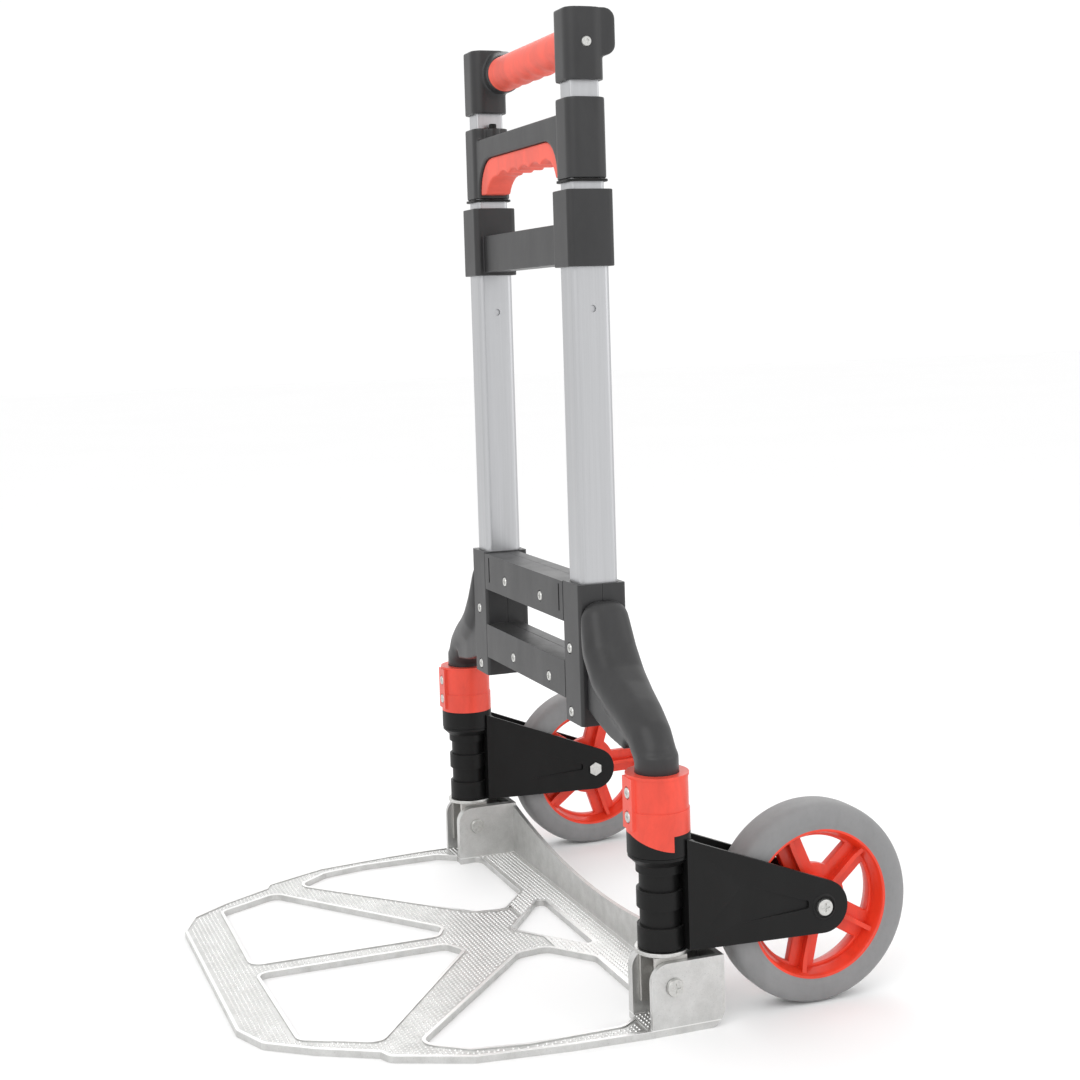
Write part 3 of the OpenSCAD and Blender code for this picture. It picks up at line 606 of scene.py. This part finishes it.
def block(build, corners_low, corners_high):
    """A closed solid between two loops of the same number of corners."""
    low = [build.verts.new(corner) for corner in corners_low]
    high = [build.verts.new(corner) for corner in corners_high]
    count = len(low)
    build.faces.new(low[::-1])
    build.faces.new(high)
    for index in range(count):
        after = (index + 1) % count
        build.faces.new((low[index], low[after], high[after], high[index]))


def bevel_build(build, width, segments=2):
    """Rounds the sharp edges of a bmesh."""
    edges = [e for e in build.edges if e.is_manifold and e.calc_face_angle(0.0) > math.radians(30)]
    bmesh.ops.bevel(
        build, geom=edges, offset=width, segments=segments, profile=0.6, affect="EDGES", clamp_overlap=True
    )


# ---- toe plate ----

class HANDTRUCK_OT_toe_plate(bpy.types.Operator):
    """Cast toe plate with its studs"""

    bl_idname = "handtruck.toe_plate"
    bl_label = "Toe plate"

    def execute(self, context):
        sizes = context.scene.hand_truck_sizes
        soft_edges("toe_plate", "cast_aluminium", sizes.cast_edge)
        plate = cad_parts["toe_plate"]
        tree = BVHTree.FromPolygons(
            [v.co for v in plate.data.vertices], [p.vertices for p in plate.data.polygons]
        )
        low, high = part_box("toe_plate")
        field = tread_height()
        strip = self.level(tree, 0, high.y - STRIP_PROBE)
        strip_front = middle("post_right").y - STRIP_FRONT
        studs = bmesh.new()
        row, y = 0, low.y
        while y < high.y:
            x = low.x + (row % 2) * sizes.stud_pitch / 2
            while x < high.x:
                ground = strip if y > strip_front else field
                if self.clear(tree, x, y, ground, 2 * sizes.stud_r):
                    self.stud(studs, Vector((x, y, ground)), sizes)
                x += sizes.stud_pitch
            y += sizes.stud_pitch * math.sin(math.radians(60))
            row += 1
        # the studs carry the finish with the painted highlight
        new_piece("toe_plate_studs", studs, "cast_stud_highlight", "toe", sharp=80)
        return {"FINISHED"}

    @staticmethod
    def level(tree, x, y):
        """Height of the plate straight below a point, or nothing over a window."""
        hit = tree.ray_cast(Vector((x, y, 1)), Vector((0, 0, -1)))[0]
        return None if hit is None else hit.z

    def clear(self, tree, x, y, field, reach):
        """Whether the plate lies at the given height all round a point."""
        around = ((0, 0), (reach, 0), (-reach, 0), (0, reach), (0, -reach))
        heights = [self.level(tree, x + dx, y + dy) for dx, dy in around]
        return all(h is not None and abs(h - field) < 0.1 * MM for h in heights)

    @staticmethod
    def stud(build, foot, sizes):
        """A small round-topped stud."""
        sides = 7
        rings = []
        for share, rise in ((1.0, -0.15), (0.78, 0.62), (0.36, 0.96)):
            rings.append([
                build.verts.new(foot + Vector((
                    sizes.stud_r * share * math.cos(math.tau * i / sides),
                    sizes.stud_r * share * math.sin(math.tau * i / sides),
                    sizes.stud_h * rise,
                )))
                for i in range(sides)
            ])
        for lower, upper in zip(rings, rings[1:]):
            for i in range(sides):
                after = (i + 1) % sides
                build.faces.new((lower[i], lower[after], upper[after], upper[i]))
        build.faces.new(rings[-1])
        build.faces.new(rings[0][::-1])


# ---- wheels ----

class HANDTRUCK_OT_wheels(bpy.types.Operator):
    """Spoked rims, rubber tyres and axles"""

    bl_idname = "handtruck.wheels"
    bl_label = "Wheels"

    def execute(self, context):
        sizes = context.scene.hand_truck_sizes
        for side in SIDES:
            centre = middle(f"tyre_{side}")
            self.rim(side, centre, sizes, getattr(sizes, f"turn_{side}"))
            self.tyre(side, centre)
            soft_edges(f"axle_{side}", "zinc_steel", sizes.metal_edge)
        return {"FINISHED"}

    @staticmethod
    def rim(side, centre, sizes, turn):
        """Turned barrel, windowed web, ribs and hub as one moulded wheel."""
        half = TYRE_W / 2 - 1 * MM
        seat = RIM_R - 1.5 * MM
        front = [
            (seat, 0), (seat, half - 2.4 * MM), (RIM_R, half - 2.4 * MM), (RIM_R, half - 0.4 * MM),
            (RIM_R - 0.5 * MM, half), (RIM_R - 2.9 * MM, half), (RIM_R - 3.5 * MM, half - 0.6 * MM),
            (RIM_R - 4.4 * MM, half - 3.4 * MM), (RIM_R - 6.0 * MM, half - 8 * MM),
            (RIM_R - 6.9 * MM, 4 * MM),
        ]
        build = bmesh.new()
        turned(build, front + [(r, -a) for r, a in front[:0:-1]], centre)
        hub_r, bore_r = 18 * MM, 5.2 * MM
        hub_half = 17.3 * MM
        hub = [
            (bore_r, hub_half), (hub_r - 1 * MM, hub_half),
            (hub_r, hub_half - 1 * MM), (hub_r + 1.5 * MM, 3 * MM),
        ]
        turned(build, hub + [(r, -a) for r, a in hub[::-1]], centre, 64)
        web = web_mesh(side, sizes, RIM_R - 5.5 * MM, bore_r, turn)
        build.from_mesh(web)
        bmesh.ops.translate(build, verts=build.verts[-len(web.vertices):], vec=centre)
        bpy.data.meshes.remove(web)
        ribs = bmesh.new()
        for index in range(sizes.spokes):
            spoke_rib(ribs, turn + math.tau * index / sizes.spokes, hub_r - 1 * MM, RIM_R - 4.5 * MM, half)
        bevel_build(ribs, 0.5 * MM)
        bmesh.ops.translate(ribs, verts=ribs.verts, vec=centre)
        shell = bpy.data.meshes.new("ribs")
        ribs.to_mesh(shell)
        ribs.free()
        build.from_mesh(shell)
        bpy.data.meshes.remove(shell)
        new_piece(f"wheel_rim_{side}", build, "wheel_red", f"wheel_{side}", [f"rim_{side}"], sharp=38)

    @staticmethod
    def tyre(side, centre):
        """Solid tyre with soft square shoulders and a bead line beside the rim."""
        half = TYRE_W / 2
        base = RIM_R + 3.5 * MM
        profile = [
            (RIM_R - 1.4 * MM, 1 * MM - half), (RIM_R + 0.3 * MM, 0.9 * MM - half),
            (base - 1.6 * MM, 0.2 * MM - half),
        ]
        steps = 22
        for step in range(steps + 1):
            angle = math.pi * step / steps
            out, along = math.sin(angle), math.cos(angle)
            profile.append((
                base + (WHEEL_R - base) * out ** 0.62,
                -half * math.copysign(abs(along) ** 0.50, along),
            ))
        profile += [(r, -a) for r, a in profile[2::-1]]
        build = bmesh.new()
        turned(build, profile, centre, 128)
        new_piece(f"wheel_tyre_{side}", build, "tyre_grey", f"wheel_{side}", [f"tyre_{side}"], sharp=50)


def arc(radius, start, end, steps):
    """Points of an arc in the plane, angles in radians."""
    return [
        Vector((radius * math.cos(start + (end - start) * i / steps), radius * math.sin(start + (end - start) * i / steps)))
        for i in range(steps + 1)
    ]


def rounded_corners(points, radius, steps=5):
    """Cuts each corner of a closed outline with a smooth curve."""
    out = []
    count = len(points)
    for index in range(count):
        before, here, after = points[index - 1], points[index], points[(index + 1) % count]
        to_before, to_after = (before - here), (after - here)
        if to_before.length < 1e-7 or to_after.length < 1e-7:
            continue
        if abs(math.pi - to_before.angle(to_after)) < math.radians(25):
            out.append(here)
            continue
        cut = min(radius, to_before.length * 0.45, to_after.length * 0.45)
        first, last = here + to_before.normalized() * cut, here + to_after.normalized() * cut
        for step in range(steps + 1):
            t = step / steps
            out.append(first * (1 - t) ** 2 + here * 2 * t * (1 - t) + last * t ** 2)
    return out


def web_mesh(side, sizes, outer, bore, first):
    """The disc with its windows between the spokes, round its edges, in the wheel's own plane."""
    curve = bpy.data.curves.new(f"web_{side}", "CURVE")
    curve.dimensions, curve.fill_mode = "2D", "BOTH"
    curve.extrude, curve.bevel_depth, curve.bevel_resolution = 2.6 * MM, 0.9 * MM, 2
    step = math.tau / sizes.spokes
    loops = [arc(outer, 0, math.tau, 96)[:-1], arc(bore, 0, math.tau, 32)[:-1]]
    inner_r, outer_r = 27 * MM, outer - 2.5 * MM
    inner_cut = math.asin(sizes.spoke_w / 2 / inner_r)
    outer_cut = math.asin(sizes.spoke_w / 2 / outer_r)
    for index in range(sizes.spokes):
        start, end = first + index * step, first + (index + 1) * step
        window = arc(outer_r, start + outer_cut, end - outer_cut, 14)
        window += arc(inner_r, end - inner_cut, start + inner_cut, 4)
        loops.append(rounded_corners(window, 3 * MM))
    for loop in loops:
        spline = curve.splines.new("POLY")
        spline.points.add(len(loop) - 1)
        for point, place in zip(spline.points, loop):
            point.co = (place.x, place.y, 0, 1)
        spline.use_cyclic_u = True
    holder = bpy.data.objects.new(curve.name, curve)
    mesh = bpy.data.meshes.new_from_object(holder)
    bpy.data.objects.remove(holder)
    bpy.data.curves.remove(curve)
    # the drawing plane's X and Y become the wheel's Y and Z
    mesh.transform(Matrix(((0, 0, 1, 0), (1, 0, 0, 0), (0, 1, 0, 0), (0, 0, 0, 1))))
    return mesh


def spoke_rib(build, angle, inner, outer, half):
    """Tall middle rib of a spoke, deeper at the barrel than at the hub."""
    outward = Vector((0, math.cos(angle), math.sin(angle)))
    across = Vector((0, -math.sin(angle), math.cos(angle)))
    along = Vector((1, 0, 0))
    thick = 1.7 * MM
    outline = [(inner, -10 * MM), (outer - 9 * MM, -9 * MM), (outer, 4 * MM - half), (outer, half - 4 * MM),
               (outer - 9 * MM, 9 * MM), (inner, 10 * MM)]
    sides = [
        [outward * r + along * a + across * offset for r, a in outline]
        for offset in (-thick, thick)
    ]
    block(build, *sides)


# ---- wheel brackets ----

class HANDTRUCK_OT_brackets(bpy.types.Operator):
    """Black wheel brackets with their sleeves and cam rings"""

    bl_idname = "handtruck.brackets"
    bl_label = "Wheel brackets"

    def execute(self, context):
        sizes = context.scene.hand_truck_sizes
        for side, sign in SIDES.items():
            soft_edges(f"bracket_{side}", "bracket_plastic", sizes.plastic_edge * 0.8)
            soft_edges(f"cam_ring_{side}", "bracket_plastic", sizes.plastic_edge * 0.6)
            self.boss_ring(side, sign)
        return {"FINISHED"}

    @staticmethod
    def boss_ring(side, sign):
        """Raised ring round the axle head on the outer cheek."""
        axle = middle(f"axle_{side}")
        axle.x = middle(f"post_{side}").x + sign * 22 * MM
        section = [
            (8.0 * MM, -0.3 * MM), (8.3 * MM, 0.6 * MM), (9.0 * MM, 0.8 * MM),
            (9.7 * MM, 0.5 * MM), (10.2 * MM, -0.3 * MM),
        ]
        build = bmesh.new()
        turned(build, [(r, sign * a) for r, a in section], axle, 56)
        new_piece(f"bracket_boss_ring_{side}", build, "bracket_plastic", f"swing_{side}")


# ---- posts, feet and clamps ----

class HANDTRUCK_OT_posts(bpy.types.Operator):
    """Posts, hinge feet, discs, hinge bolts and red clamp collars"""

    bl_idname = "handtruck.posts"
    bl_label = "Posts and clamps"

    def execute(self, context):
        sizes = context.scene.hand_truck_sizes
        for name in paired("post"):
            soft_edges(name, "post_steel", sizes.metal_edge)
        for name in paired("foot"):
            soft_edges(name, "foot_cast", sizes.cast_edge)
        for name in paired("foot_disc"):
            soft_edges(name, "zinc_steel", sizes.metal_edge * 3)
        for name in paired("hinge_bolt") + paired("clamp_screws"):
            soft_edges(name, "zinc_steel", sizes.metal_edge)
        for name in paired("clamp"):
            soft_edges(name, "clamp_red", sizes.plastic_edge, 3)
        return {"FINISHED"}


# ---- lower frame ----

class HANDTRUCK_OT_lower_frame(bpy.types.Operator):
    """Two-part lower frame, its legs and screws"""

    bl_idname = "handtruck.lower_frame"
    bl_label = "Lower frame"

    def execute(self, context):
        sizes = context.scene.hand_truck_sizes
        for name in ("frame_front", "frame_rear"):
            soft_edges(name, "frame_plastic", sizes.plastic_edge)
        soft_edges("frame_screws", "zinc_steel", sizes.metal_edge)
        for name in paired("leg"):
            soft_form(name, "frame_plastic", 1.1 * MM, 20)
        return {"FINISHED"}


# ---- tubes and collar bracket ----

class HANDTRUCK_OT_tubes(bpy.types.Operator):
    """Telescopic tubes, collar bracket and guide plates"""

    bl_idname = "handtruck.tubes"
    bl_label = "Tubes"

    def execute(self, context):
        sizes = context.scene.hand_truck_sizes
        for name in paired("tube_outer") + paired("tube_middle") + paired("tube_inner"):
            soft_edges(name, "tube_aluminium", sizes.metal_edge)
        soft_edges("collar_bracket", "frame_plastic", sizes.plastic_edge * 1.2, 3)
        for name in paired("guide_plate"):
            soft_edges(name, "bracket_plastic", sizes.plastic_edge * 0.5)
        return {"FINISHED"}


# ---- handles ----

class HANDTRUCK_OT_lower_handle(bpy.types.Operator):
    """Lower handle with its under-grip and release button"""

    bl_idname = "handtruck.lower_handle"
    bl_label = "Lower handle"

    def execute(self, context):
        sizes = context.scene.hand_truck_sizes
        soft_form("handle_lower", "frame_plastic", 0.9 * MM, 8)
        soft_form("grip_lower", "grip_red", 0.9 * MM, 8)
        soft_edges("release_button", "bracket_plastic", sizes.plastic_edge, 3)
        return {"FINISHED"}


class HANDTRUCK_OT_upper_handle(bpy.types.Operator):
    """Upper grip between its two caps"""

    bl_idname = "handtruck.upper_handle"
    bl_label = "Upper handle"

    def execute(self, context):
        sizes = context.scene.hand_truck_sizes
        for name in paired("cap"):
            soft_form(name, "frame_plastic", 0.9 * MM, 10)
        for name in paired("cap_rivet"):
            soft_edges(name, "zinc_steel", sizes.metal_edge)
        self.grip(sizes)
        return {"FINISHED"}

    @staticmethod
    def grip(sizes):
        """Rubber sleeve with finger hollows along its underside."""
        low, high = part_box("grip_upper")
        centre = (low + high) / 2
        half = (high.x - low.x) / 2
        steps, around = 120, 48
        build = bmesh.new()
        rings = []
        for step in range(steps + 1):
            x = -half + 2 * half * step / steps
            wave = 0.5 - 0.5 * math.cos(math.tau * x / sizes.finger_pitch + math.pi)
            fade = min(1.0, (half - abs(x)) / (12 * MM))
            ring = []
            for index in range(around):
                angle = math.tau * index / around
                below = max(0.0, -math.sin(angle)) ** 2.5
                radius = GRIP_R - sizes.finger_depth * wave * fade * below
                place = Vector((x, radius * math.cos(angle), radius * math.sin(angle)))
                ring.append(build.verts.new(centre + place))
            rings.append(ring)
        for here, there in zip(rings, rings[1:]):
            for index in range(around):
                after = (index + 1) % around
                build.faces.new((here[index], here[after], there[after], there[index]))
        build.faces.new(rings[0][::-1])
        build.faces.new(rings[-1])
        new_piece("upper_grip_sleeve", build, "grip_red", "upper_stage", ["grip_upper"], sharp=60)


# ---- stage ----

class HANDTRUCK_OT_stage(bpy.types.Operator):
    """Pale floor, soft lamps and the camera"""

    bl_idname = "handtruck.stage"
    bl_label = "Stage"

    def execute(self, context):
        stage = context.scene.hand_truck_stage
        self.floor()
        self.room(context.scene, stage.room_light)
        self.lamp("Key lamp", (1.5, -1.5, 1.9), 1.6, stage.key_power)
        self.lamp("Fill lamp", (1.3, 1.6, 0.9), 1.4, stage.fill_power)
        self.lamp("Back lamp", (-1.5, 0.6, 1.5), 1.2, stage.rim_power)
        self.camera(context.scene, stage)
        context.scene.view_settings.view_transform = "Standard"
        return {"FINISHED"}

    @staticmethod
    def floor():
        """A wide pale floor with a faint, slow change of tone."""
        build = bmesh.new()
        bmesh.ops.create_grid(build, x_segments=2, y_segments=2, size=14)
        mesh = bpy.data.meshes.new("studio_floor")
        build.to_mesh(mesh)
        build.free()
        floor = bpy.data.objects.new("studio_floor", mesh)
        bpy.context.scene.collection.objects.link(floor)
        paint = Finish("studio_floor_paint", Roughness=0.85, Specular_IOR_Level=0.2)
        cloud = node(paint.tree, "TexNoise", -900, 0, Scale=1.5, Detail=2.0)
        link(paint.tree, paint.place, "Object", cloud, "Vector")
        tone = paint.blend((cloud, "Fac"), (0.955, 0.955, 0.955), (0.975, 0.975, 0.975), -400, 0)
        paint.feed(tone, "Base Color")
        mesh.materials.append(paint.material)

    @staticmethod
    def room(scene, strength):
        """Even pale surroundings."""
        scene.world = bpy.data.worlds.new("Soft room")
        scene.world.use_nodes = True
        sky = scene.world.node_tree.nodes["Background"]
        sky.inputs["Color"].default_value = (1.0, 1.0, 1.0, 1.0)
        sky.inputs["Strength"].default_value = strength

    @staticmethod
    def lamp(name, place, size, power):
        """A square soft lamp that faces the middle of the object."""
        light = bpy.data.lights.new(name, "AREA")
        light.shape, light.size, light.energy = "SQUARE", size, power
        holder = bpy.data.objects.new(name, light)
        holder.location = place
        aim = Vector((0, 0, 0.3)) - Vector(place)
        holder.rotation_mode = "QUATERNION"
        holder.rotation_quaternion = aim.to_track_quat("-Z", "Y")
        bpy.context.scene.collection.objects.link(holder)

    @staticmethod
    def camera(scene, stage):
        """The camera, from its place and its three angles."""
        lens = bpy.data.cameras.new("Camera")
        lens.lens, lens.sensor_width, lens.shift_y = stage.lens, 36, stage.drop
        holder = bpy.data.objects.new("Camera", lens)
        flat = math.cos(stage.pitch)
        forward = Vector((
            -math.sin(stage.azimuth) * flat, math.cos(stage.azimuth) * flat, -math.sin(stage.pitch)
        ))
        right = Vector((math.cos(stage.azimuth), math.sin(stage.azimuth), 0))
        up = right.cross(forward)
        turned_right = right * math.cos(stage.roll) - up * math.sin(stage.roll)
        turned_up = right * math.sin(stage.roll) + up * math.cos(stage.roll)
        rows = Matrix((turned_right, turned_up, -forward)).transposed()
        holder.matrix_world = Matrix.Translation(stage.camera_at) @ rows.to_4x4()
        scene.collection.objects.link(holder)
        scene.camera = holder


# ---- add-on ----

OPERATORS = (
    HANDTRUCK_OT_stage,
    HANDTRUCK_OT_toe_plate,
    HANDTRUCK_OT_wheels,
    HANDTRUCK_OT_brackets,
    HANDTRUCK_OT_posts,
    HANDTRUCK_OT_lower_frame,
    HANDTRUCK_OT_tubes,
    HANDTRUCK_OT_lower_handle,
    HANDTRUCK_OT_upper_handle,
)


class HANDTRUCK_PT_parts(bpy.types.Panel):
    """Lists the pieces of the hand truck"""

    bl_idname = "HANDTRUCK_PT_parts"
    bl_label = "Hand truck"
    bl_space_type = "VIEW_3D"
    bl_region_type = "UI"
    bl_category = "Hand truck"

    def draw(self, context):
        for operator in OPERATORS:
            self.layout.operator(operator.bl_idname)
        for name in ("hand_truck_finishes", "hand_truck_sizes", "hand_truck_stage"):
            settings = getattr(context.scene, name)
            box = self.layout.box()
            for prop in settings.__annotations__:
                box.prop(settings, prop)


CLASSES = (HandTruckFinishes, HandTruckSizes, HandTruckStage, *OPERATORS, HANDTRUCK_PT_parts)


def register():
    for cls in CLASSES:
        bpy.utils.register_class(cls)
    bpy.types.Scene.hand_truck_finishes = PointerProperty(type=HandTruckFinishes)
    bpy.types.Scene.hand_truck_sizes = PointerProperty(type=HandTruckSizes)
    bpy.types.Scene.hand_truck_stage = PointerProperty(type=HandTruckStage)


def unregister():
    del bpy.types.Scene.hand_truck_stage
    del bpy.types.Scene.hand_truck_sizes
    del bpy.types.Scene.hand_truck_finishes
    for cls in reversed(CLASSES):
        bpy.utils.unregister_class(cls)


def main():
    """Builds every piece and the stage."""
    register()
    for operator in OPERATORS:
        family, name = operator.bl_idname.split(".")
        getattr(getattr(bpy.ops, family), name)()


if __name__ == "__main__":
    main()
